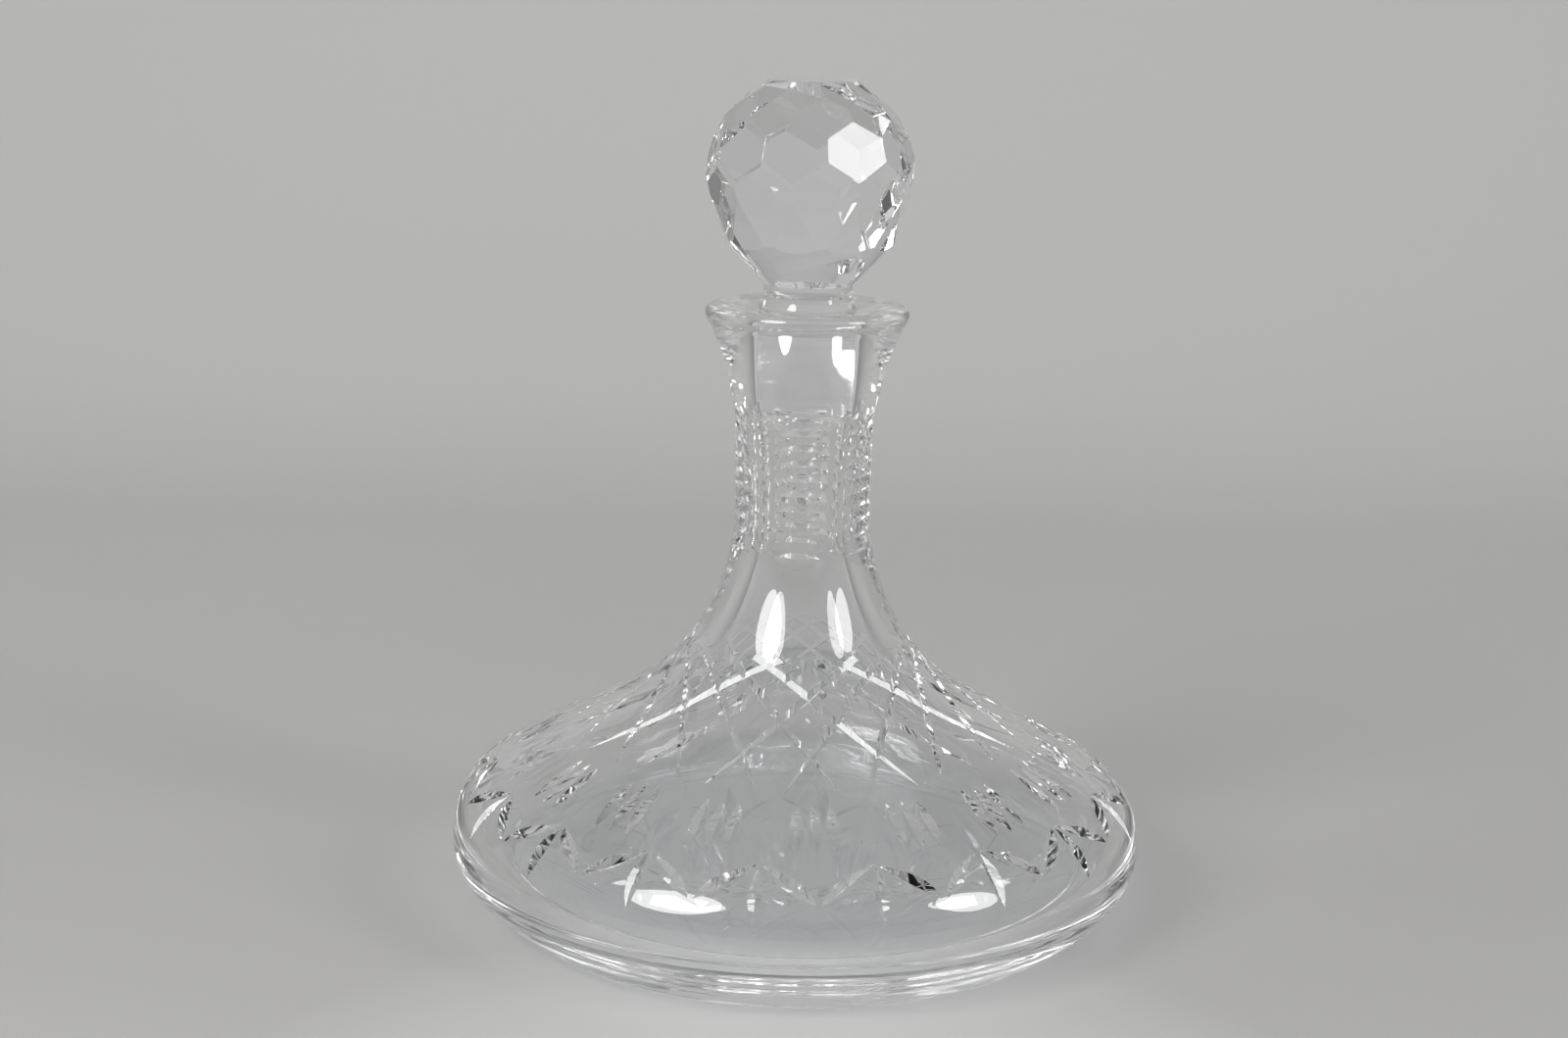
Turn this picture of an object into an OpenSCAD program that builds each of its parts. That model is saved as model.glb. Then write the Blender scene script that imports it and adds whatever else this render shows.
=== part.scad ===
// Ship's decanter in cut crystal: a wide flat-based bottle and its faceted ball stopper.
// Millimetres. The bottle stands on z = 0 with its axis on Z; the front faces -Y.

/* [Bottle] */
// Height over the stopper
total_h = 236.4; // [232:0.2:242]
// Widest diameter, round the bulge
body_d = 200; // [192:1:212]
// Diameter of the flat foot
foot_d = 171; // [162:1:176]
// Height of the widest ring
bulge_h = 21; // [20.5:0.5:24]
// Radius of the rounded bulge
bulge_r = 19.5; // [18:0.5:20]
// Slope of the straight shoulder, degrees
shoulder_a = 29.6; // [28.8:0.2:30.6]
// Radius of the hollow sweep between shoulder and neck
sweep_r = 65; // [62:1:68]
// Thickness of the glass under the cavity
base_t = 12; // [9:0.5:14]
// Radius inside the bottom corner of the cavity
cavity_edge_r = 10; // [7:0.5:11]

/* [Neck and lip] */
// Diameter of the neck at its waist, before it is cut
neck_d = 38.7; // [38.1:0.2:40.1]
// Lean of the side of the neck above its waist, degrees
neck_lean = 1; // [0.6:0.1:1.4]
// Narrowest bore of the neck
bore_d = 22; // [20:0.5:23.5]
// Diameter over the lip
lip_d = 57.5; // [54:0.5:61]
// Radius of the rounded lip edge
lip_edge_r = 2.4; // [2:0.1:2.8]
// Radius of the flare under the lip
flare_r = 75; // [71:1:79]

/* [Neck cutting] */
// Number of ribs and of hollow flutes round the neck
rib_n = 6; // [6:1:6]
// Direction of the front rib, degrees from the front
rib_turn = -3.7; // [-30:0.1:30]
// Radius of each hollow flute, nearly flat
flute_r = 30; // [24:1:40]
// Depth of each hollow flute
flute_depth = 0.7; // [0.5:0.05:0.9]
// Length of the flutes below the waist of the neck
flute_drop = 10; // [8:0.5:12]
// Length of the flutes above the waist of the neck
flute_rise = 35; // [30:0.5:38]
// Notches cut in each rib
notch_n = 10; // [6:1:10]
// Spacing of the notches
notch_pitch = 4.3; // [4:0.1:4.4]
// Depth of the lowest notch below the waist of the neck
notch_drop = 11.7; // [10:0.1:12.5]
// Depth of a notch at the middle of its rib
notch_depth = 1.1; // [0.8:0.05:1.3]

/* [Body cutting] */
// Repeats of the pattern round the body
repeats = 18; // [16:1:18]
// Direction of the front fan, degrees from the front
pattern_turn = -6; // [-10:0.1:10]
// Half angle of the vee wheel for the diamonds and fans
vee_a = 52; // [46:1:56]
// Depth of the diamond cuts at their lower part
diamond_depth = 1; // [0.8:0.05:1]
// Diameter of the wheel for the diamond cuts
diamond_wheel = 800; // [740:10:860]
// Lean of the diamond cuts from the line up the slope, degrees
diamond_turn = 32.7; // [31.5:0.1:34]
// Depth of the outer leaves of each fan
leaf_depth = 1.65; // [1.3:0.05:1.8]
// Diameter of the wheel for the outer leaves
leaf_wheel = 120; // [100:5:140]
// Lean of the outer leaves from the line up the slope, degrees
leaf_turn = 51; // [49:0.5:53]
// Depth of the middle leaf of each fan
mid_leaf_depth = 1.9; // [1.6:0.05:2.1]
// Diameter of the wheel for the middle leaf
mid_leaf_wheel = 240; // [220:5:260]
// Half angle of the vee wheel for the middle leaf
mid_leaf_a = 45; // [42:1:48]
// Depth of the short flutes between the diamonds and the fans
short_depth = 1.3; // [0.9:0.05:1.4]
// Diameter of the wheel for the short flutes
short_wheel = 60; // [52:2:68]
// Half angle of the vee wheel for the short flutes
short_a = 57; // [53:1:59]
// Angle between neighbouring short flutes, degrees
short_step = 3.65; // [3.4:0.05:4]

/* [Stopper] */
// Distance of the ball facets from the ball centre
facet_d = 28.3; // [27.4:0.1:29.2]
// Facets in each row round the ball
facet_n = 10; // [8:1:12]
// Height of the ball centre above the lip ring
ball_rise = 36.4; // [35.6:0.2:38]
// Distance of the flat top from the ball centre
table_d = 28; // [27:0.1:28.6]
// Direction of the front facet of the second row, degrees
facet_turn = -9; // [-18:0.1:18]
// Diameter of the short stem under the ball
stem_d = 25.2; // [23.5:0.1:26]
// Diameter of the plug at the mouth
plug_d = 27.6; // [26.8:0.1:28.4]
// Diameter of the plug at its lower end
plug_end_d = 26.6; // [25.8:0.1:26.8]
// Length of plug below the mouth
plug_len = 29; // [24:0.5:30]
// Gap between plug and bore, each side
plug_gap = 0.15; // [0.1:0.05:0.3]

/* [Hidden] */
$fn = 96;

// Outline of the bottle: foot, bulge arc, straight shoulder, hollow sweep, neck, flare and lip.
body_r = body_d / 2;
foot_r = foot_d / 2;
bulge_x = body_r - bulge_r;
shoulder_n = [sin(shoulder_a), cos(shoulder_a)];
shoulder_low = [bulge_x, bulge_h] + bulge_r * shoulder_n;
neck_r = neck_d / 2;
neck_n = [cos(neck_lean), -sin(neck_lean)];
neck_u = [sin(neck_lean), cos(neck_lean)];
sweep_x = neck_r + sweep_r * neck_n.x;
sweep_h = shoulder_low.y + (sweep_r - (sweep_x - shoulder_low.x) * shoulder_n.x) / shoulder_n.y;
shoulder_high = [sweep_x, sweep_h] - sweep_r * shoulder_n;
waist = [sweep_x, sweep_h] - sweep_r * neck_n;
foot_gap = norm([bulge_x - foot_r, bulge_h]);
foot_a = atan2(bulge_h, bulge_x - foot_r) - asin(bulge_r / foot_gap);
foot_touch = [foot_r, 0] + sqrt(foot_gap * foot_gap - bulge_r * bulge_r) * [cos(foot_a), sin(foot_a)];
lip_h = total_h - ball_rise - table_d;
lip_x = lip_d / 2 - lip_edge_r;
flare_from = waist + flare_r * neck_n - [lip_x, lip_h];
flare_up = flare_from * neck_u;
flare_reach = flare_r + lip_edge_r;
flare_run = -flare_up - sqrt(flare_up * flare_up - flare_from * flare_from + flare_reach * flare_reach);
flare_low = waist + flare_run * neck_u;
flare_c = flare_low + flare_r * neck_n;
flare_touch = flare_c + flare_r / flare_reach * ([lip_x, lip_h] - flare_c);

// Overlap where an arc runs into a straight, so that the two cross cleanly.
blend = 0.02;

// Bore and cavity.
bore_r = bore_d / 2;
wall_t = neck_r - bore_r;
mouth_h = lip_h + 1.6;
seat_r = plug_d / 2 + plug_gap;
seat_end_r = plug_end_d / 2 + plug_gap;
seat_low = mouth_h - plug_len - 1.5;
cavity_h = base_t + cavity_edge_r;
cavity_reach = wall_t + cavity_edge_r + (cavity_h - shoulder_low.y) * shoulder_n.y;
cavity_x = shoulder_low.x - cavity_reach / shoulder_n.x;
cavity_low = [cavity_x, cavity_h] + cavity_edge_r * shoulder_n;
cavity_high = shoulder_high - wall_t * shoulder_n;
throat = waist - wall_t * neck_n;

// Radius and outward slope of the bottle at a height on the bulge, shoulder, sweep, neck or flare.
function bulge_at(h) = bulge_x + sqrt(bulge_r * bulge_r - pow(h - bulge_h, 2));
function line_at(h) = shoulder_low.x - (h - shoulder_low.y) / tan(shoulder_a);
function sweep_at(h) = sweep_x - sqrt(sweep_r * sweep_r - pow(h - sweep_h, 2));
function neck_at(h) = neck_r + (h - waist.y) * tan(neck_lean);
function flare_at(h) = flare_c.x - sqrt(flare_r * flare_r - pow(h - flare_c.y, 2));
function upper_at(h) = h < waist.y ? sweep_at(h) : h < flare_low.y ? neck_at(h) : flare_at(h);
function radius_at(h) = h < shoulder_low.y ? bulge_at(h) : h < shoulder_high.y ? line_at(h) : upper_at(h);
function bulge_tilt(h) = asin((h - bulge_h) / bulge_r);
function sweep_tilt(h) = asin((sweep_h - h) / sweep_r);
function upper_tilt(h) = h < shoulder_high.y ? 90 - shoulder_a : sweep_tilt(h);
function tilt_at(h) = h < shoulder_low.y ? bulge_tilt(h) : upper_tilt(h);

// Heights of the cuts, set from the ends of the straight shoulder so that they move with it.
diamond_h = shoulder_high.y + 0.9;
leaf_h = shoulder_low.y - 1.25;
mid_leaf_h = shoulder_low.y - 3.3;
short_h = shoulder_low.y + 0.363 * (shoulder_high.y - shoulder_low.y);
step_a = 360 / repeats;
first_a = pattern_turn - 90;

// Ball centre, and the top of the stem measured from it.
ball_h = lip_h + ball_rise;
stem_drop = -(facet_d - 0.2);

module outer_section() {
  difference() {
    union() {
      polygon([
        [0, 0], [foot_r, 0], foot_touch, [bulge_x, bulge_h], shoulder_low, shoulder_high,
        [shoulder_high.x, waist.y], waist, flare_low, [flare_touch.x, flare_low.y], flare_touch,
        [lip_x, lip_h], [lip_x, lip_h + lip_edge_r], [seat_r + 1.4, mouth_h], [0, mouth_h]
      ]);
      translate([bulge_x, bulge_h])
        circle(bulge_r + blend);
      translate([lip_x, lip_h])
        circle(lip_edge_r + blend);
    }
    translate([sweep_x, sweep_h])
      circle(sweep_r + blend);
    translate(flare_c)
      circle(flare_r + blend);
  }
}

module inner_section() {
  difference() {
    union() {
      polygon([
        [0, base_t], [cavity_x, base_t], [cavity_x, cavity_h], cavity_low, cavity_high,
        [cavity_high.x, throat.y], throat, [seat_end_r, seat_low], [seat_r, mouth_h - 1],
        [seat_r + 1.4, mouth_h], [seat_r + 1.4, mouth_h + 5], [0, mouth_h + 5]
      ]);
      translate([cavity_x, cavity_h])
        circle(cavity_edge_r + blend);
    }
    translate([sweep_x, sweep_h])
      circle(sweep_r + wall_t + blend);
  }
}

module blown_bottle() {
  rotate_extrude($fn = 180)
    difference() {
      outer_section();
      inner_section();
    }
}

// Cut of a vee-edged wheel: the keel follows the wheel's arc in a few straight lengths, is deepest at the
// placed point and comes out of the glass in a point at both ends. Local X points out of the glass.
module vee_cut(wheel_r, depth, rise, half_a, lengths) {
  n = lengths;
  inner = (n % 2) / n;
  reach = sqrt(2 * wheel_r * (depth + rise) / (1 - inner * inner));
  z = [for (i = [0:n]) reach * (2 * i / n - 1)];
  keel = [for (v = z) (v * v - pow(inner * reach, 2)) / (2 * wheel_r) - depth];
  half_w = [for (x = keel) (rise - x) * tan(half_a)];
  left = n;
  right = 2 * n - 1;
  polyhedron(
    points = concat(
      [for (i = [0:n]) [keel[i], 0, z[i]]],
      [for (i = [1:n - 1]) [rise, -half_w[i], z[i]]],
      [for (i = [1:n - 1]) [rise, half_w[i], z[i]]]
    ),
    faces = concat(
      [[0, 1, left + 1], [n - 1, n, left + n - 1], [1, 0, right + 1], [n, n - 1, right + n - 1]],
      [for (i = [1:1:n - 2]) [i, i + 1, left + i + 1, left + i]],
      [for (i = [1:1:n - 2]) [i, right + i, right + i + 1, i + 1]],
      [concat([0], [for (i = [1:n - 1]) left + i], [n], [for (i = [n - 1:-1:1]) right + i])]
    )
  );
}

// Places a tool on the bottle's skin: local X points out of the glass, local Z up the slope.
module on_skin(a, h, turn) {
  rotate([0, 0, first_a + a])
    translate([radius_at(h), 0, h])
      rotate([0, -tilt_at(h), 0])
        rotate([-turn, 0, 0])
          children();
}

module diamond_cuts(hand) {
  for (i = [0:repeats - 1])
    on_skin(i * step_a + hand * step_a * 0.55, diamond_h, hand * diamond_turn)
      vee_cut(diamond_wheel / 2, diamond_depth, 3, vee_a, 4);
}

module side_leaves(hand) {
  for (i = [0:repeats - 1])
    on_skin(i * step_a + hand * step_a * 0.275, leaf_h, hand * -leaf_turn)
      vee_cut(leaf_wheel / 2, leaf_depth, 0.4, vee_a, 3);
}

module mid_leaves() {
  for (i = [0:repeats - 1])
    on_skin(i * step_a, mid_leaf_h, 0)
      vee_cut(mid_leaf_wheel / 2, mid_leaf_depth, 0.4, mid_leaf_a, 3);
}

module short_flutes() {
  for (i = [0:repeats - 1])
    for (k = [-1:1])
      on_skin((i + 0.5) * step_a + k * short_step, short_h, 0)
        vee_cut(short_wheel / 2, short_depth, 0.2, short_a, 3);
}

// Hollow flutes between the ribs: round cutters that follow the neck, steep below and long above.
module neck_flutes() {
  low = waist.y - flute_drop;
  high = waist.y + flute_rise;
  axis_x = neck_r - flute_depth + flute_r;
  steps = [for (i = [0:5]) low + (high - low - 6) * i / 5];
  for (i = [0:rib_n - 1])
    rotate([0, 0, rib_turn - 90 + (i + 0.5) * 360 / rib_n])
      translate([axis_x, 0, 0])
        rotate_extrude($fn = 128)
          polygon(concat(
            [[0, low - 3], [axis_x - radius_at(low - 3) - 1.2, low - 3]],
            [for (h = steps) [axis_x - radius_at(h) + flute_depth, h]],
            [[axis_x - radius_at(high) - 0.4, high], [0, high]]
          ));
}

// One ring of straight notches, one across each rib: a slab with a six-sided waist left standing in it.
module notch_ring(h) {
  half_h = notch_pitch * 0.48;
  core = radius_at(h) - notch_depth;
  corner = 1 / cos(180 / rib_n);
  translate([0, 0, h])
    difference() {
      translate([0, 0, -half_h])
        cylinder(h = 2 * half_h, r = core + notch_depth + 2);
      translate([0, 0, -half_h])
        cylinder(h = half_h, r1 = (core + notch_depth) * corner, r2 = core * corner, $fn = rib_n);
      cylinder(h = half_h, r1 = core * corner, r2 = (core + notch_depth) * corner, $fn = rib_n);
    }
}

module neck_notches() {
  rotate([0, 0, rib_turn - 90 + 180 / rib_n])
    for (i = [0:notch_n - 1])
      notch_ring(waist.y - notch_drop + i * notch_pitch);
}

module cut_neck() {
  difference() {
    difference() {
      blown_bottle();
      neck_flutes();
    }
    neck_notches();
  }
}

module cut_diamonds() {
  difference() {
    difference() {
      cut_neck();
      diamond_cuts(1);
    }
    diamond_cuts(-1);
  }
}

module cut_fans() {
  difference() {
    difference() {
      difference() {
        cut_diamonds();
        side_leaves(1);
      }
      side_leaves(-1);
    }
    mid_leaves();
  }
}

module decanter_body() {
  color([0.86, 0.9, 0.93, 0.5])
    difference() {
      cut_fans();
      short_flutes();
    }
}

// Ball: rows of flat facets, each row the side of a many-sided cone about the axis.
module facet_row(lat, dist, a) {
  low = stem_drop;
  function apothem(h) = (dist - h * sin(lat)) / cos(lat);
  corner = 1 / cos(180 / facet_n);
  rotate([0, 0, a - 90 - 180 / facet_n])
    translate([0, 0, low])
      cylinder(h = table_d - low, r1 = apothem(low) * corner, r2 = apothem(table_d) * corner, $fn = facet_n);
}

// Plain cone under the facets, down to the stem.
module ball_foot() {
  low = stem_drop;
  foot_r1 = stem_d / 2 + 0.3;
  translate([0, 0, low])
    cylinder(h = table_d - low, r1 = foot_r1, r2 = foot_r1 + (table_d - low) * tan(43));
}

module ball() {
  half_a = 180 / facet_n;
  translate([0, 0, ball_h])
    intersection() {
      facet_row(54.8, facet_d + 1.4, facet_turn);
      facet_row(41.2, facet_d + 1.1, facet_turn + half_a);
      facet_row(17.4, facet_d + 0.3, facet_turn);
      facet_row(-11.8, facet_d - 1.4, facet_turn + half_a);
      facet_row(-20.8, facet_d - 0.8, facet_turn);
      ball_foot();
    }
}

module stem_and_plug() {
  stem_r = stem_d / 2;
  plug_r = plug_d / 2;
  plug_end_r = plug_end_d / 2;
  plug_low = mouth_h - plug_len;
  rotate_extrude($fn = 96)
    polygon([
      [0, plug_low], [plug_end_r - 0.8, plug_low], [plug_end_r, plug_low + 0.8], [plug_r, mouth_h - 0.6],
      [plug_r, mouth_h + 0.4], [plug_r - 0.5, mouth_h + 1.4], [stem_r, mouth_h + 3],
      [stem_r, ball_h + stem_drop + 1], [0, ball_h + stem_drop + 1]
    ]);
}

module stopper() {
  color([0.9, 0.93, 0.95, 0.5])
    union() {
      ball();
      stem_and_plug();
    }
}

decanter_body();
stopper();
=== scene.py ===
import bpy
import math
from mathutils import Matrix, Vector


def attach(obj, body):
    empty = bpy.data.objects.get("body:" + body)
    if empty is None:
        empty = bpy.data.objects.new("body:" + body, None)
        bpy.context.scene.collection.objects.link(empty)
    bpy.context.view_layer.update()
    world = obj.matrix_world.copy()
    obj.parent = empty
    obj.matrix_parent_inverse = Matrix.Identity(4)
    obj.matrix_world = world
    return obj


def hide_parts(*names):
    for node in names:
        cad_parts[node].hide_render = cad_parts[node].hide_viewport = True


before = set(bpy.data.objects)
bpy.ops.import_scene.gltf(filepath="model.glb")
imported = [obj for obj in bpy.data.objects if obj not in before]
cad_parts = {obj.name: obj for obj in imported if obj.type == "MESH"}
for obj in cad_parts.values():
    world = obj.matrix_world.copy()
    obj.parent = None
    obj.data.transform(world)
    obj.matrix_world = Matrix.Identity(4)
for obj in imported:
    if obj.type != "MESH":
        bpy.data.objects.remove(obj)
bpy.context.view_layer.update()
mm = 0.001


# Small helpers for working in object and edit mode.

def putDown():
    if bpy.context.object and bpy.context.object.mode != "OBJECT":
        bpy.ops.object.mode_set(mode="OBJECT")
    bpy.ops.object.select_all(action="DESELECT")


def pickUp(obj):
    putDown()
    obj.select_set(True)
    bpy.context.view_layer.objects.active = obj


def drawLine(name, points):
    # one vertex, then extruded from point to point in the XZ plane; leaves edit mode on
    putDown()
    bpy.ops.mesh.primitive_plane_add(size=mm)
    obj = bpy.context.object
    obj.name = name
    bpy.ops.object.mode_set(mode="EDIT")
    bpy.ops.mesh.select_all(action="SELECT")
    bpy.ops.mesh.merge(type="CENTER")
    bpy.ops.transform.translate(value=(points[0][0] * mm, 0, points[0][1] * mm))
    for here, there in zip(points, points[1:]):
        step = ((there[0] - here[0]) * mm, 0, (there[1] - here[1]) * mm)
        bpy.ops.mesh.extrude_vertices_move(TRANSFORM_OT_translate={"value": step})
    return obj


def turnLine(name, points, steps):
    # a line that starts and ends on the axis, spun to a closed solid
    obj = drawLine(name, points)
    bpy.ops.mesh.select_all(action="SELECT")
    bpy.ops.mesh.spin(steps=steps, angle=2 * math.pi, center=(0, 0, 0), axis=(0, 0, 1))
    closeUp()
    return obj


def closeUp():
    bpy.ops.mesh.select_all(action="SELECT")
    bpy.ops.mesh.remove_doubles(threshold=2e-6)
    bpy.ops.mesh.normals_make_consistent(inside=False)
    bpy.ops.object.mode_set(mode="OBJECT")


def fillFace():
    bpy.ops.mesh.select_all(action="SELECT")
    bpy.ops.mesh.edge_face_add()


def layOut(tool, places):
    # copies of one tool, each with its own mesh, set in place and joined
    copies = []
    for place in places:
        twin = tool.copy()
        twin.data = tool.data.copy()
        twin.data.transform(place)
        bpy.context.collection.objects.link(twin)
        copies.append(twin)
    bpy.data.objects.remove(tool, do_unlink=True)
    putDown()
    for twin in copies:
        twin.select_set(True)
    bpy.context.view_layer.objects.active = copies[0]
    bpy.ops.object.join()
    return copies[0]


def workWith(target, tool, how):
    pickUp(target)
    cut = target.modifiers.new("cut", "BOOLEAN")
    cut.operation = how
    cut.solver = "MANIFOLD"
    cut.object = tool
    bpy.ops.object.modifier_apply(modifier=cut.name)
    bpy.data.objects.remove(tool, do_unlink=True)


# points of an outline: "count" is the number of steps from start to end

def arc(centre, radius, start, end, count):
    turn = [math.radians(start + (end - start) * i / count) for i in range(count + 1)]
    return [(centre[0] + radius * math.cos(t), centre[1] + radius * math.sin(t)) for t in turn]


def line(start, end, count):
    # without the two ends
    return [tuple(a + (b - a) * i / count for a, b in zip(start, end)) for i in range(1, count)]


# Bottle, in millimetres.

bottle = dict(
    bodyR=100, footR=85.5, bulgeH=21, bulgeR=19.5, shoulderA=29.6, sweepR=65,
    footEdge=[(-0.5, 0), (0.1, 0.35)],  # eased corner of the foot, from its radius
    baseT=12, cavityEdgeR=10, neckR=19.35, neckLean=1, boreR=11,
    lipR=28.75, lipH=172, lipEdgeR=2.4, flareR=75, mouthRise=1.6,
    rimWide=1.4, rimDeep=1, seatR=13.95, seatEndR=13.45, seatLen=30.5,
    spinSteps=240, smoothA=9,
)


def bottleShape(b):
    # the points where arcs and straights of the outline meet
    s = dict(b)
    slope, lean = math.radians(b["shoulderA"]), math.radians(b["neckLean"])
    s["slopeN"] = Vector((math.sin(slope), math.cos(slope)))
    s["neckN"] = Vector((math.cos(lean), -math.sin(lean)))
    s["neckUp"] = Vector((math.sin(lean), math.cos(lean)))
    s["bulgeC"] = Vector((b["bodyR"] - b["bulgeR"], b["bulgeH"]))
    s["shoulderLow"] = low = s["bulgeC"] + b["bulgeR"] * s["slopeN"]
    sweepX = b["neckR"] + b["sweepR"] * s["neckN"].x
    sweepH = low.y + (b["sweepR"] - (sweepX - low.x) * s["slopeN"].x) / s["slopeN"].y
    s["sweepC"] = Vector((sweepX, sweepH))
    s["shoulderHigh"] = s["sweepC"] - b["sweepR"] * s["slopeN"]
    s["waist"] = s["sweepC"] - b["sweepR"] * s["neckN"]
    s["lipC"] = Vector((b["lipR"] - b["lipEdgeR"], b["lipH"]))
    start = s["waist"] + b["flareR"] * s["neckN"] - s["lipC"]
    rise = start.dot(s["neckUp"])
    run = -rise - math.sqrt(rise ** 2 - start.length_squared + (b["flareR"] + b["lipEdgeR"]) ** 2)
    s["flareLow"] = s["waist"] + run * s["neckUp"]
    s["flareC"] = s["flareLow"] + b["flareR"] * s["neckN"]
    s["mouthH"] = b["lipH"] + b["mouthRise"]
    s["wallT"] = b["neckR"] - b["boreR"]
    cavityH = b["baseT"] + b["cavityEdgeR"]
    reach = s["wallT"] + b["cavityEdgeR"] + (cavityH - low.y) * s["slopeN"].y
    s["cavityC"] = Vector((low.x - reach / s["slopeN"].x, cavityH))
    return s


def radiusAt(s, h):
    if h < s["shoulderLow"].y:
        return s["bulgeC"].x + math.sqrt(s["bulgeR"] ** 2 - (h - s["bulgeC"].y) ** 2)
    if h < s["shoulderHigh"].y:
        return s["shoulderLow"].x - (h - s["shoulderLow"].y) / math.tan(math.radians(s["shoulderA"]))
    if h < s["waist"].y:
        return s["sweepC"].x - math.sqrt(s["sweepR"] ** 2 - (h - s["sweepC"].y) ** 2)
    if h < s["flareLow"].y:
        return s["neckR"] + (h - s["waist"].y) * math.tan(math.radians(s["neckLean"]))
    return s["flareC"].x - math.sqrt(s["flareR"] ** 2 - (h - s["flareC"].y) ** 2)


def tiltAt(s, h):
    if h < s["shoulderLow"].y:
        return math.asin((h - s["bulgeC"].y) / s["bulgeR"])
    if h < s["shoulderHigh"].y:
        return math.radians(90 - s["shoulderA"])
    return math.asin((s["sweepC"].y - h) / s["sweepR"])


def headingOf(v):
    return math.degrees(math.atan2(v.y, v.x)) % 360


def bottleOutline(s):
    up, level = 90 - s["shoulderA"], 180 - s["neckLean"]
    footEnd = Vector((s["footR"], 0))
    gap = s["bulgeC"] - footEnd
    footA = math.atan2(gap.y, gap.x) - math.asin(s["bulgeR"] / gap.length)
    run = math.sqrt(gap.length_squared - s["bulgeR"] ** 2)
    touch = footEnd + run * Vector((math.cos(footA), math.sin(footA)))
    outer = [(0, 0)] + line((0, 0), footEnd, 24)
    outer += [(s["footR"] + x, z) for x, z in s["footEdge"]]
    outer += line(outer[-1], touch, 5)
    outer += arc(s["bulgeC"], s["bulgeR"], math.degrees(footA) - 90, up, 44)
    outer += line(s["shoulderLow"], s["shoulderHigh"], 24)
    outer += arc(s["sweepC"], s["sweepR"], 180 + up, level, 30)
    outer += line(s["waist"], s["flareLow"], 10)
    flareA = headingOf(s["lipC"] - s["flareC"])
    outer += arc(s["flareC"], s["flareR"], level, flareA, 18)
    outer += arc(s["lipC"], s["lipEdgeR"], flareA - 180, 90, 36)[1:]
    rim = (s["seatR"] + s["rimWide"], s["mouthH"])
    seat = (s["seatR"], s["mouthH"] - s["rimDeep"])
    seatEnd = Vector((s["seatEndR"], s["mouthH"] - s["seatLen"]))
    inner = line(outer[-1], rim, 5) + [rim, seat] + line(seat, seatEnd, 12) + [tuple(seatEnd)]
    # the bore tapers down from the seat until it meets the inner side of the sweep
    innerR = s["sweepR"] + s["wallT"]
    throat = s["sweepC"] - innerR * s["neckN"]
    course = (seatEnd - throat).normalized()
    meet = throat + 2 * innerR * s["neckN"].dot(course) * course
    inner += line(seatEnd, meet, 8)
    inner += arc(s["sweepC"], innerR, headingOf(meet - s["sweepC"]), 180 + up, 30)
    inner += line(inner[-1], s["cavityC"] + s["cavityEdgeR"] * s["slopeN"], 20)
    inner += arc(s["cavityC"], s["cavityEdgeR"], up, -90, 36)
    inner += line(inner[-1], (0, s["baseT"]), 20) + [(0, s["baseT"])]
    return outer + inner


def onSkin(s, around, height, turn):
    # local X points out of the glass, local Z up the slope
    place = Matrix.Rotation(math.radians(around - 90), 4, "Z")
    place @= Matrix.Translation((radiusAt(s, height) * mm, 0, height * mm))
    place @= Matrix.Rotation(-tiltAt(s, height), 4, "Y")
    return place @ Matrix.Rotation(math.radians(-turn), 4, "X")


def veeFace(name, tip, tooth, halfA):
    # level vee with its point at x = tip; leaves edit mode on
    half = tooth * math.tan(math.radians(halfA))
    obj = drawLine(name, [(tip + tooth, -half), (tip, 0), (tip + tooth, half)])
    fillFace()
    bpy.ops.transform.rotate(value=math.pi / 2, orient_axis="X", center_override=(0, 0, 0))
    return obj


def cuttingWheel(name, w):
    # sector of a vee-edged wheel whose rim reaches "depth" under the placed point
    sector = 2 * math.asin(w["reach"] / w["wheelR"])
    obj = veeFace(name, -w["depth"], w["depth"] + w["proud"], w["halfA"])
    centre = Vector(((w["wheelR"] - w["depth"]) * mm, 0, 0))
    bpy.ops.mesh.spin(steps=w["steps"], angle=sector, center=centre, axis=(0, 1, 0))
    closeUp()
    # turn it back, so that the placed point is in the middle of the cut
    spunUp = sum(v.co.z for v in obj.data.vertices) > 0
    lean = Matrix.Rotation(-sector / 2 if spunUp else sector / 2, 4, "Y")
    obj.data.transform(Matrix.Translation(centre) @ lean @ Matrix.Translation(-centre))
    return obj


def skinAt(s, place, along):
    # how far the skin stands out from a placed tool's axis, at a distance along it
    low, high = -9, 9  # millimetres, halved until they meet
    for halving in range(40):
        out = (low + high) / 2
        spot = place @ Vector((out * mm, 0, along * mm)) / mm
        outside = math.hypot(spot.x, spot.y) > radiusAt(s, spot.z)
        low, high = (low, out) if outside else (out, high)
    return out


def skinCutter(name, s, place, d):
    # vee that runs along the skin at an even depth and comes out in a point at both ends
    path = []
    for i in range(d["steps"] + 1):
        along = d["start"] + (d["end"] - d["start"]) * i / d["steps"]
        fade = 1 - (2 * i / d["steps"] - 1) ** 4
        deep = (d["depth"] + d["endLift"]) * fade - d["endLift"]
        path.append(Vector((skinAt(s, place, along) - deep, 0, along)) * mm)
    obj = veeFace(name, 0, d["depth"] + d["proud"], d["halfA"])
    bpy.ops.transform.translate(value=path[0])
    for here, there in zip(path, path[1:]):
        bpy.ops.mesh.extrude_region_move(TRANSFORM_OT_translate={"value": there - here})
    closeUp()
    return obj


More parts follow.
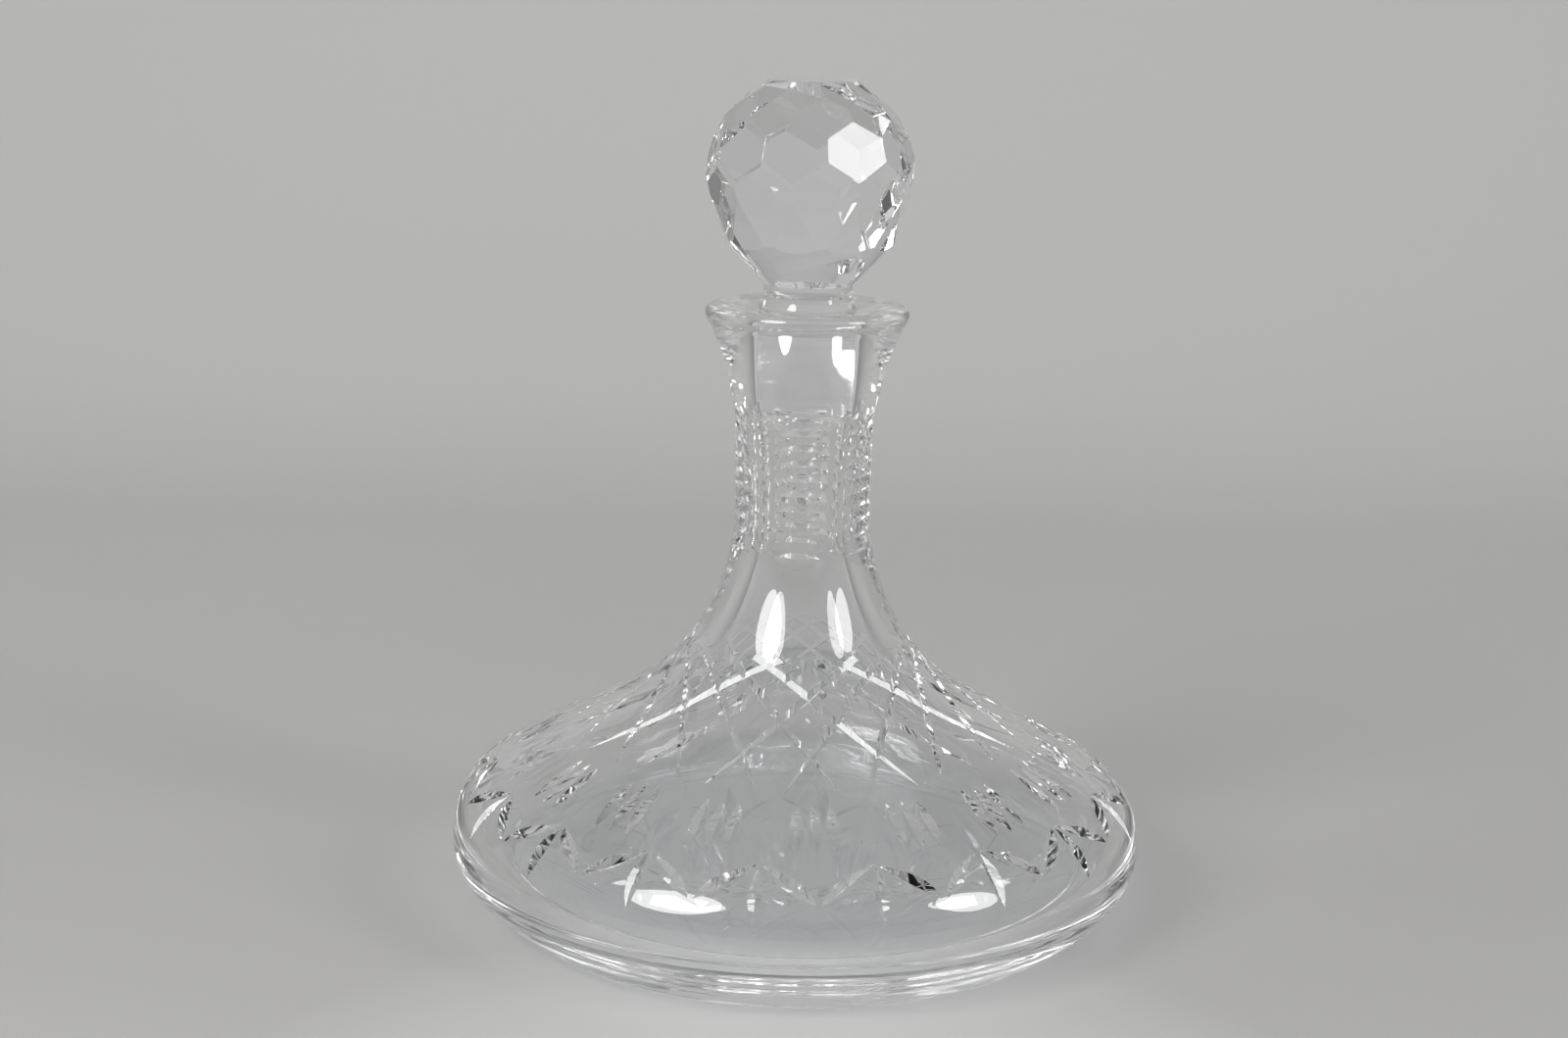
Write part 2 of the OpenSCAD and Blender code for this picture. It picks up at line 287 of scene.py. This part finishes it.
# "around" is in steps of the pattern; "up" counts from the top of the shoulder for the diamonds,
# from its lower end for the leaves, and as a share of the shoulder for the short flutes
bodyCutting = dict(
    repeats=18, patternTurn=-6,
    diamond=dict(
        depth=0.8, proud=0.5, halfA=52, start=-20.5, end=42, endLift=0.15, steps=48,
        around=0.637, up=0.9, lean=33.3,
    ),
    leaf=dict(
        wheelR=60, depth=1.65, proud=1.2, halfA=52, reach=16, steps=24,
        around=0.275, up=-1.25, lean=-51,
    ),
    midLeaf=dict(wheelR=120, depth=1.9, proud=1.2, halfA=45, reach=14, steps=24, up=-3.3),
    short=dict(
        wheelR=30, depth=1.3, proud=1, halfA=57, reach=13, steps=24,
        around=0.5, up=0.363, apart=3.65,
    ),
)


def cutBody(obj, s, c):
    step = 360 / c["repeats"]
    turns = [c["patternTurn"] + i * step for i in range(c["repeats"])]
    low, high = s["shoulderLow"].y, s["shoulderHigh"].y
    diamond, leaf, midLeaf, short = (c[k] for k in ("diamond", "leaf", "midLeaf", "short"))

    def cut(tool, spots):
        workWith(obj, layOut(tool, spots), "DIFFERENCE")

    def slanted(d, height, hand):
        return [onSkin(s, a + hand * step * d["around"], height, hand * d["lean"]) for a in turns]

    for hand in (1, -1):
        spots = slanted(diamond, high + diamond["up"], hand)
        cut(skinCutter("diamondCutter", s, spots[0], diamond), spots)
    for hand in (1, -1):
        cut(cuttingWheel("leafWheel", leaf), slanted(leaf, low + leaf["up"], hand))
    upright = [onSkin(s, a, low + midLeaf["up"], 0) for a in turns]
    cut(cuttingWheel("midLeafWheel", midLeaf), upright)
    height = low + short["up"] * (high - low)
    for k in (-1, 0, 1):
        beside = step * short["around"] + k * short["apart"]
        cut(cuttingWheel("shortWheel", short), [onSkin(s, a + beside, height, 0) for a in turns])


neckCutting = dict(
    ribs=6, ribTurn=-3.7, fluteR=30, fluteDepth=0.7, fluteDrop=10, fluteRise=35,
    fluteRunIn=3, fluteRunOut=6, clearLow=1.2, clearHigh=0.4, fluteSteps=192,
    notches=10, notchPitch=4.3, notchDrop=11.7, notchDepth=1.1,
    notchShare=0.48, notchProud=1.5, notchLen=20,
)


def cutNeck(obj, s, c):
    # round cutters for the flutes follow the skin of the neck, with a steep lower and a long upper end
    low, high = s["waist"].y - c["fluteDrop"], s["waist"].y + c["fluteRise"]
    axisX = s["neckR"] - c["fluteDepth"] + c["fluteR"]
    start, spans = low - c["fluteRunIn"], 15
    edge = [(axisX - radiusAt(s, start) - c["clearLow"], start)]
    for i in range(spans + 1):
        h = low + (high - low - c["fluteRunOut"]) * i / spans
        edge.append((axisX - radiusAt(s, h) + c["fluteDepth"], h))
    edge.append((axisX - radiusAt(s, high) - c["clearHigh"], high))
    cutter = turnLine("fluteCutter", [(0, start)] + edge + [(0, high)], c["fluteSteps"])
    turns = [math.radians(c["ribTurn"] - 90 + i * 360 / c["ribs"]) for i in range(c["ribs"])]
    halfTurn = math.pi / c["ribs"]
    outward = Matrix.Translation((axisX * mm, 0, 0))
    places = [Matrix.Rotation(t + halfTurn, 4, "Z") @ outward for t in turns]
    workWith(obj, layOut(cutter, places), "DIFFERENCE")
    half = c["notchPitch"] * c["notchShare"] * c["notchProud"]
    tall, across = c["notchDepth"] * c["notchProud"], c["notchLen"] * mm
    # every other notch at a time, because the bars of neighbours overlap above the skin
    for odd in (0, 1):
        bar = drawLine("notchCutter", [(0, 0), (tall, -half), (tall, half)])
        fillFace()
        bpy.ops.transform.translate(value=(0, -across / 2, 0))
        bpy.ops.mesh.extrude_region_move(TRANSFORM_OT_translate={"value": (0, across, 0)})
        closeUp()
        places = []
        for k in range(odd, c["notches"], 2):
            h = s["waist"].y - c["notchDrop"] + k * c["notchPitch"]
            deep = Matrix.Translation(((radiusAt(s, h) - c["notchDepth"]) * mm, 0, h * mm))
            places += [Matrix.Rotation(t, 4, "Z") @ deep for t in turns]
        workWith(obj, layOut(bar, places), "DIFFERENCE")


def makeBottle():
    s = bottleShape(bottle)
    obj = turnLine("decanterBottle", bottleOutline(s), bottle["spinSteps"])
    print("bottle turned:", len(obj.data.polygons), "faces")
    cutNeck(obj, s, neckCutting)
    cutBody(obj, s, bodyCutting)
    pickUp(obj)
    bpy.ops.object.mode_set(mode="EDIT")
    closeUp()
    bpy.ops.object.shade_smooth_by_angle(angle=math.radians(bottle["smoothA"]))
    print("bottle cut:", len(obj.data.polygons), "faces")
    return obj


# Stopper, in millimetres.

stopper = dict(
    facetD=28.3, facets=10, ballH=208.4, tableD=28, facetTurn=-9, stemDrop=-28.1,
    # each row's latitude, and how much further out than facetD it lies
    rows=[(54.8, 1.4), (41.2, 1.1), (17.4, 0.3), (-11.8, -1.4), (-20.8, -0.8)],
    edge=0.16, footA=43, footWide=0.3, stemR=12.6, mouthH=173.6,
    plugR=13.8, plugEndR=13.3, plugLen=29, plugEdge=0.8,
    collar=[(0, -0.6), (0, 0.4), (-0.5, 1.4)],  # from plugR and the mouth
    hollow=[(0.25, 2.2), (0, 3.4)],  # from stemR and the mouth
    blank=90, smoothA=5,
)


def makeStopper():
    p = stopper
    putDown()
    bpy.ops.mesh.primitive_cube_add(size=p["blank"] * mm, location=(0, 0, p["ballH"] * mm))
    ball = bpy.context.object
    ball.name = "decanterStopper"
    bpy.ops.object.transform_apply(location=True, rotation=True, scale=True)
    bpy.ops.object.mode_set(mode="EDIT")
    half = 180 / p["facets"]
    planes = [(Vector((0, 0, 1)), p["tableD"]), (Vector((0, 0, -1)), -p["stemDrop"])]
    for row, (lat, more) in enumerate(p["rows"]):
        for i in range(p["facets"]):
            around = math.radians(p["facetTurn"] - 90 + (row + 2 * i) * half)
            up = math.radians(lat)
            level = Vector((math.cos(around), math.sin(around), 0))
            facing = math.cos(up) * level + Vector((0, 0, math.sin(up)))
            planes.append((facing, p["facetD"] + more))
    centre = Vector((0, 0, p["ballH"] * mm))
    for facing, away in planes:
        bpy.ops.mesh.select_all(action="SELECT")
        spot = centre + facing * away * mm
        bpy.ops.mesh.bisect(plane_co=spot, plane_no=facing, use_fill=True, clear_outer=True)
    closeUp()
    print("ball cut:", len(ball.data.polygons), "facets")
    pickUp(ball)
    ease = ball.modifiers.new("ease", "BEVEL")
    ease.width = p["edge"] * mm
    ease.segments = 2
    ease.limit_method = "ANGLE"
    ease.angle_limit = math.radians(8)
    bpy.ops.object.modifier_apply(modifier=ease.name)
    neck, top = p["ballH"] + p["stemDrop"], p["ballH"] + p["tableD"] + 1
    footR = p["stemR"] + p["footWide"]
    coneEnd = (footR + (top - neck) * math.tan(math.radians(p["footA"])), top)
    cone = [(0, neck), (footR, neck)] + line((footR, neck), coneEnd, 12) + [coneEnd, (0, top)]
    workWith(ball, turnLine("ballFoot", cone, 160), "INTERSECT")
    low, stemTop = p["mouthH"] - p["plugLen"], (p["stemR"], neck + 1)
    plugEnd = (p["plugEndR"] - p["plugEdge"], low)
    collar = [(p["plugR"] + x, p["mouthH"] + z) for x, z in p["collar"]]
    hollow = [(p["stemR"] + x, p["mouthH"] + z) for x, z in p["hollow"]]
    stem = [(0, low)] + line((0, low), plugEnd, 6)
    stem += [plugEnd, (p["plugEndR"], low + p["plugEdge"])]
    stem += line(stem[-1], collar[0], 12) + collar + hollow
    stem += line(stem[-1], stemTop, 4) + [stemTop, (0, neck + 1)]
    workWith(ball, turnLine("plug", stem, 128), "UNION")
    pickUp(ball)
    bpy.ops.object.mode_set(mode="EDIT")
    closeUp()
    bpy.ops.object.shade_smooth_by_angle(angle=math.radians(p["smoothA"]))
    print("stopper made:", len(ball.data.polygons), "faces")
    return ball


# Materials.

class Wire:
    # a socket with arithmetic, so that masks can be written as sums
    def __init__(self, shop, socket):
        self.shop = shop
        self.socket = socket

    def calc(self, how, other, swap=False):
        pair = [other, self] if swap else [self, other]
        return self.shop.node("ShaderNodeMath", dict(operation=how), {0: pair[0], 1: pair[1]})

    def __add__(self, other):
        return self.calc("ADD", other)

    def __radd__(self, other):
        return self.calc("ADD", other, True)

    def __sub__(self, other):
        return self.calc("SUBTRACT", other)

    def __rsub__(self, other):
        return self.calc("SUBTRACT", other, True)

    def __mul__(self, other):
        return self.calc("MULTIPLY", other)

    def __rmul__(self, other):
        return self.calc("MULTIPLY", other, True)

    def __or__(self, other):
        return self.calc("MAXIMUM", other)

    def __ror__(self, other):
        return self.calc("MAXIMUM", other, True)


class Finish:
    # the node tree of one material or of the world
    def __init__(self, owner):
        self.owner = owner
        owner.use_nodes = True
        self.tree = owner.node_tree
        self.tree.nodes.clear()

    def node(self, kind, settings, inputs, output=0):
        made = self.tree.nodes.new(kind)
        for key, value in settings.items():
            setattr(made, key, value)
        for key, value in inputs.items():
            if isinstance(value, Wire):
                self.tree.links.new(value.socket, made.inputs[key])
            else:
                made.inputs[key].default_value = value
        return Wire(self, made.outputs[output]) if made.outputs else None

    def ramp(self, value, start, end):
        limits = {"Value": value, "From Min": start, "From Max": end}
        return self.node("ShaderNodeMapRange", {}, limits, 0)

    def blend(self, share, first, second):
        # 6 and 7 are the colour sockets, and 2 is the colour output
        return self.node("ShaderNodeMix", dict(data_type="RGBA"), {0: share, 6: first, 7: second}, 2)

    def ray(self, kind):
        return self.node("ShaderNodeLightPath", {}, {}, kind)


groundJoint = dict(reach=0.0146, low=0.143, high=0.173, rough=0.05)
bottleGlass = dict(
    name="bottleCrystal", tintLow=0.06, tintHigh=0.1,
    lowTint=(0.94, 0.945, 0.948, 1), highTint=(0.985, 0.988, 0.99, 1),
    ior=1.545, haze=0.012, ripple=0.05, shade=(0.70, 0.71, 0.72, 1),
)
stopperGlass = dict(
    name="stopperCrystal", tintLow=0.176, tintHigh=0.182,
    lowTint=(0.985, 0.988, 0.99, 1), highTint=(0.97, 0.977, 0.982, 1),
    ior=1.545, haze=0.012, ripple=0.02, shade=(0.80, 0.81, 0.82, 1),
)


def crystal(g, joint):
    shop = Finish(bpy.data.materials.new(g["name"]))
    place = shop.node("ShaderNodeTexCoord", {}, {}, "Object")
    fine = {"Vector": place, "Scale": 90.0, "Detail": 4.0, "Roughness": 0.6}
    broad = {"Vector": place, "Scale": 38.0, "Detail": 1.0}
    haze = shop.node("ShaderNodeTexNoise", {}, fine, 0)
    wave = shop.node("ShaderNodeTexNoise", {}, broad, 0)
    rippled = {"Height": wave, "Strength": g["ripple"], "Distance": 0.0004}
    bump = shop.node("ShaderNodeBump", {}, rippled)
    # the joint of plug and mouth is ground, and a little duller than the cut glass
    x, y, z = (shop.node("ShaderNodeSeparateXYZ", {}, {"Vector": place}, k) for k in "XYZ")
    inJoint = (x * x + y * y).calc("LESS_THAN", joint["reach"] ** 2)
    inJoint = inJoint * z.calc("GREATER_THAN", joint["low"]) * z.calc("LESS_THAN", joint["high"])
    # thick and thin glass: the tint changes with the height
    rise = shop.ramp(z, g["tintLow"], g["tintHigh"])
    tone = shop.blend(rise, g["lowTint"], g["highTint"])
    glass = shop.node("ShaderNodeBsdfPrincipled", {}, {
        "Base Color": tone, "Roughness": haze * g["haze"] + inJoint * joint["rough"],
        "IOR": g["ior"], "Transmission Weight": 1.0, "Normal": bump,
    })
    # lamps shine through the glass, with a light shadow
    through = shop.node("ShaderNodeBsdfTransparent", {}, {"Color": g["shade"]})
    mixed = shop.node("ShaderNodeMixShader", {}, {0: shop.ray("Is Shadow Ray"), 1: glass, 2: through})
    shop.node("ShaderNodeOutputMaterial", {}, {"Surface": mixed})
    return shop.owner


# Studio: paper, lamps and camera, in metres.

studio = dict(
    floorDrop=0.0004, floorStart=-1.6, floorEnd=0.5, curveR=0.5, backTop=2.6, paperWide=4.4,
    # painted light: the paper is paler at the front and far up the backdrop than in the middle
    paperFrontPaintedLight=(0.52, 0.517, 0.51, 1), paperMid=(0.45, 0.446, 0.437, 1),
    paperFarPaintedLight=(0.63, 0.63, 0.622, 1), paperPaintedCaustic=(0.6, 0.6, 0.595, 1),
    frontFade=(-0.05, -0.4), backFade=(0.05, 0.7),
    # painted pool of light on the paper in front of the bottle, where light comes through the glass
    paintedCausticAhead=0.17, paintedCausticReach=0.022,  # the reach is squared
    roomSeen=0.5, roomDark=0.1, roomLight=0.3, duskFade=(0.3, 0.6), duskLift=1.2,
    lampAim=(0, 0, 0.09),
    umbrellas=[
        dict(name="leftUmbrella", azimuth=-42, elevation=34, away=1.4, wide=0.68, tall=0.8, power=14),
        dict(name="rightUmbrella", azimuth=61, elevation=28, away=1.4, wide=0.47, tall=0.65, power=7.2),
    ],
)


def paperFinish():
    # grey paper with a faint mottle, and painted light: paler at the front and up the backdrop, and a
    # painted pool of light where light is thrown through the glass
    shop = Finish(bpy.data.materials.new("greyPaper"))
    place = shop.node("ShaderNodeTexCoord", {}, {}, "Object")
    mottle = {"Vector": place, "Scale": 6.0, "Detail": 3.0}
    fleck = shop.node("ShaderNodeTexNoise", {}, mottle, 0)
    side, depth = (shop.node("ShaderNodeSeparateXYZ", {}, {"Vector": place}, k) for k in "XY")
    # painted light: a pale round patch in front of the bottle stands in for light thrown through the
    # glass
    ahead = depth + studio["paintedCausticAhead"]
    paintedCausticMask = shop.ramp(side * side + ahead * ahead, studio["paintedCausticReach"], 0.0)
    depth = depth + fleck * 0.06
    # painted light: paler towards the front and up the backdrop
    tone = shop.blend(shop.ramp(depth, *studio["frontFade"]), studio["paperMid"], studio["paperFrontPaintedLight"])
    tone = shop.blend(shop.ramp(depth, *studio["backFade"]), tone, studio["paperFarPaintedLight"])
    tone = shop.blend(paintedCausticMask, tone, studio["paperPaintedCaustic"])
    surface = shop.node("ShaderNodeBsdfPrincipled", {}, {
        "Base Color": tone, "Roughness": 0.82 + fleck * 0.1, "Specular IOR Level": 0.25,
    })
    shop.node("ShaderNodeOutputMaterial", {}, {"Surface": surface})
    return shop.owner


def makeStage():
    # paper sweep: floor, then a wide curve up to the backdrop
    r, end, wide = (studio[k] for k in ("curveR", "floorEnd", "paperWide"))
    curve = arc((end, r), r, -90, 0, 12)
    sweep = [(studio["floorStart"], 0)] + curve + [(end + r, studio["backTop"])]
    obj = drawLine("paperSweep", [(y / mm, z / mm) for y, z in sweep])
    bpy.ops.mesh.select_all(action="SELECT")
    bpy.ops.transform.rotate(value=-math.pi / 2, orient_axis="Z", center_override=(0, 0, 0))
    bpy.ops.transform.translate(value=(-wide / 2, 0, -studio["floorDrop"]))
    bpy.ops.mesh.extrude_region_move(TRANSFORM_OT_translate={"value": (wide, 0, 0)})
    bpy.ops.mesh.select_all(action="SELECT")
    bpy.ops.mesh.normals_make_consistent(inside=False)
    bpy.ops.object.mode_set(mode="OBJECT")
    bpy.ops.object.shade_smooth_by_angle(angle=math.radians(40))
    obj.data.materials.append(paperFinish())
    ys = [v.co.y for v in obj.data.vertices]
    print("paper sweep from y", round(min(ys), 2), "to", round(max(ys), 2))


def makeLights():
    aim = Vector(studio["lampAim"])
    for u in studio["umbrellas"]:
        a, e = math.radians(u["azimuth"]), math.radians(u["elevation"])
        level = Vector((math.sin(a), -math.cos(a), 0))
        place = aim + u["away"] * (math.cos(e) * level + Vector((0, 0, math.sin(e))))
        putDown()
        bpy.ops.object.light_add(type="AREA", location=place)
        lamp = bpy.context.object
        lamp.name = u["name"]
        lamp.rotation_euler = (aim - place).to_track_quat("-Z", "Y").to_euler()
        lamp.data.shape = "ELLIPSE"
        lamp.data.size = u["wide"]
        lamp.data.size_y = u["tall"]
        lamp.data.energy = u["power"]


def makeRoom():
    # pale room in the glass, dark low down behind the camera, and dimmer as a light on the paper;
    # the camera itself sees it pale all round
    room = Finish(bpy.data.worlds.new("studioRoom"))
    bpy.context.scene.world = room.owner
    camera, glossy, through = (room.ray(f"Is {k} Ray") for k in ("Camera", "Glossy", "Transmission"))
    heading = room.node("ShaderNodeTexCoord", {}, {}, "Generated")
    y, z = (room.node("ShaderNodeSeparateXYZ", {}, {"Vector": heading}, k) for k in "YZ")
    dusk = room.ramp(0 - y - z * studio["duskLift"], *studio["duskFade"])
    wall, dark, light = ((studio[k],) * 3 + (1,) for k in ("roomSeen", "roomDark", "roomLight"))
    tone = room.blend(dusk * (1 - camera), wall, dark)
    seen = room.node("ShaderNodeBackground", {}, {"Color": tone, "Strength": 1.0})
    lit = room.node("ShaderNodeBackground", {}, {"Color": light, "Strength": 1.0})
    mixed = room.node("ShaderNodeMixShader", {}, {0: camera | glossy | through, 1: lit, 2: seen})
    room.node("ShaderNodeOutputWorld", {}, {"Surface": mixed})


# the focal length is in pixels of a picture that is "wide" across
view = dict(
    place=(0, -0.6842, 0.2648), pitch=12.56, yaw=-0.44, roll=1.29, focal=2496.3, wide=1600, sensor=36,
)


def makeCamera():
    p, y, r = (math.radians(view[k]) for k in ("pitch", "yaw", "roll"))
    ahead = Vector((math.sin(y) * math.cos(p), math.cos(y) * math.cos(p), -math.sin(p)))
    right = Vector((math.cos(y), -math.sin(y), 0))
    up = right.cross(ahead)
    right, up = math.cos(r) * right + math.sin(r) * up, math.cos(r) * up - math.sin(r) * right
    putDown()
    bpy.ops.object.camera_add()
    camera = bpy.context.object
    axes = Matrix((right, up, -ahead)).transposed().to_4x4()
    camera.matrix_world = Matrix.Translation(view["place"]) @ axes
    camera.data.sensor_fit = "HORIZONTAL"
    camera.data.sensor_width = view["sensor"]
    camera.data.lens = view["sensor"] * view["focal"] / view["wide"]
    camera.data.clip_start = 0.01
    bpy.context.scene.camera = camera


makeCamera()
makeStage()
makeLights()
makeRoom()
bpy.context.scene.view_settings.view_transform = "Standard"
# light crosses the cut glass many times before it leaves
cycles = bpy.context.scene.cycles
cycles.max_bounces = 24
cycles.glossy_bounces = 16
cycles.transmission_bounces = 24

bottlePiece = makeBottle()
bottlePiece.data.materials.clear()
bottlePiece.data.materials.append(crystal(bottleGlass, groundJoint))
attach(bottlePiece, "bottle")
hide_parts("decanter_body")

stopperPiece = makeStopper()
stopperPiece.data.materials.clear()
stopperPiece.data.materials.append(crystal(stopperGlass, groundJoint))
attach(stopperPiece, "stopper")
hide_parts("stopper")
